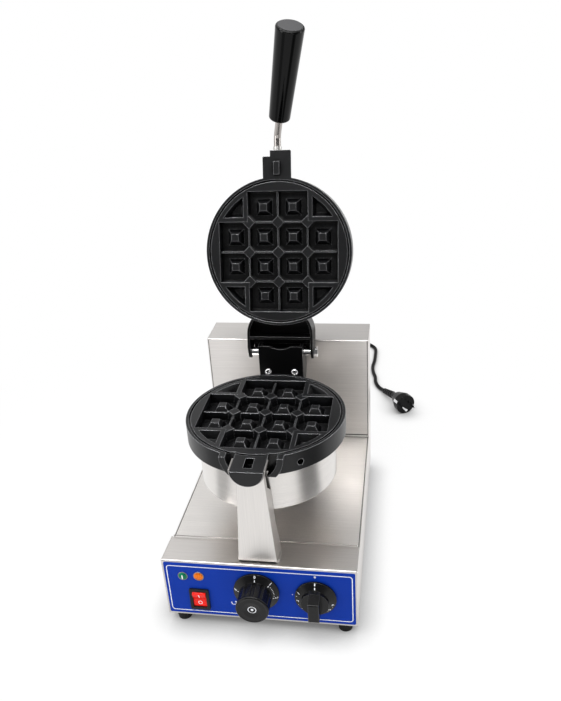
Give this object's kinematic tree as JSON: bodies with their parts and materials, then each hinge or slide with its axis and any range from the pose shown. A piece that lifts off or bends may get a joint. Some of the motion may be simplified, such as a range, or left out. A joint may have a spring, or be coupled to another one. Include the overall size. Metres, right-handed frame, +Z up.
{
  "type": "bubble waffle maker",
  "caption": "Countertop bubble waffle maker: round cast plates in a hinged, turn-over head on a steel base with a rear tower, front strut, blue control panel and upright handle.",
  "frame": {"origin": "on the table, under the middle of the object's box without its cord", "axes": "+Z up; -Y towards the control panel; +X to the right, seen from the front"},
  "size_m": [0.3295, 0.8947, 0.7155],
  "materials": {
    "casing_steel": "brushed stainless sheet",
    "inner_steel": "plain steel",
    "panel_blue": "deep blue gloss overlay",
    "plate_coating": "dark non-stick coating on cast aluminium",
    "bracket_black": "black satin steel",
    "bright_metal": "bright plated steel",
    "bush_bronze": "plain bronze",
    "grip_black": "glossy heat-proof plastic",
    "grip_end": "dark satin plastic disc",
    "knob_black": "glossy black plastic",
    "body_plastic": "matte black plastic",
    "rocker_red": "red plastic",
    "lens_green": "green lens",
    "lens_orange": "orange lens",
    "foot_rubber": "black rubber",
    "cord_black": "black cable sheath"
  },
  "bodies": {
    "base": {"front_cover": "casing_steel", "control_panel": "panel_blue", "drip_pan": "casing_steel", "tower_cover": "casing_steel", "side_left": "casing_steel", "side_right": "casing_steel", "back_panel": "casing_steel", "bottom_plate": "casing_steel", "foot_front_left": "foot_rubber", "foot_rear_left": "foot_rubber", "foot_front_right": "foot_rubber", "foot_rear_right": "foot_rubber", "foot_screws": "inner_steel", "strut": "casing_steel", "saddle": "casing_steel", "strut_bolts": "inner_steel", "bearing_flange": "bracket_black", "bearing_housing": "inner_steel", "shaft_bushes": "bush_bronze", "tower_frame": "inner_steel", "green_lamp": "lens_green", "orange_lamp": "lens_orange", "switch_housing": "body_plastic", "timer_body": "body_plastic", "thermostat_body": "body_plastic", "terminal_block": "body_plastic", "cord_gland": "cord_black", "cord_lead": "cord_black", "cord_coil": "cord_black", "cord_tail": "cord_black", "plug_body": "cord_black", "plug_pins": "bright_metal"},
    "head": {"lower_plate": "plate_coating", "lower_cover": "casing_steel", "lower_cover_bolt": "inner_steel", "lower_element": "inner_steel", "lower_bracket": "bracket_black", "lower_bracket_screws": "bright_metal", "flip_screws": "bright_metal", "shaft_flange": "bracket_black", "shaft": "inner_steel", "stop_collar": "inner_steel", "hinge_pins": "bright_metal", "hinge_spacers": "bright_metal", "hinge_nuts": "bright_metal"},
    "lid": {"upper_plate": "plate_coating", "upper_cover": "casing_steel", "upper_cover_bolt": "inner_steel", "upper_element": "inner_steel", "upper_bracket": "bracket_black", "upper_bracket_screws": "bright_metal", "handle_rod": "bright_metal", "handle_collar": "bright_metal", "handle_grip": "grip_black", "grip_cap": "grip_end"},
    "timer": {"timer_knob": "knob_black", "timer_shaft": "bright_metal"},
    "thermostat": {"thermostat_knob": "knob_black", "thermostat_shaft": "bright_metal"},
    "switch": {"rocker": "rocker_red"}
  },
  "joints": [
    {"name": "head_flip", "type": "hinge", "parent": "base", "child": "head", "pos_m": [0, 0.08, 0.255], "axis": [0, 1, 0], "range_deg": [0, 30]},
    {"name": "lid_hinge", "type": "hinge", "parent": "head", "child": "lid", "pos_m": [0, 0.08, 0.271], "axis": [1, 0, 0], "range_deg": [0, 105.2]},
    {"name": "timer_turn", "type": "hinge", "parent": "base", "child": "timer", "pos_m": [-0.003, -0.19, 0.0645], "axis": [0, 1, 0], "range_deg": [0, 300]},
    {"name": "thermostat_turn", "type": "hinge", "parent": "base", "child": "thermostat", "pos_m": [0.0725, -0.19, 0.061], "axis": [0, 1, 0], "range_deg": [0, 270]},
    {"name": "rocker_tilt", "type": "hinge", "parent": "base", "child": "switch", "pos_m": [-0.0795, -0.189, 0.0445], "axis": [-1, 0, 0], "range_deg": [0, 20]}
  ]
}
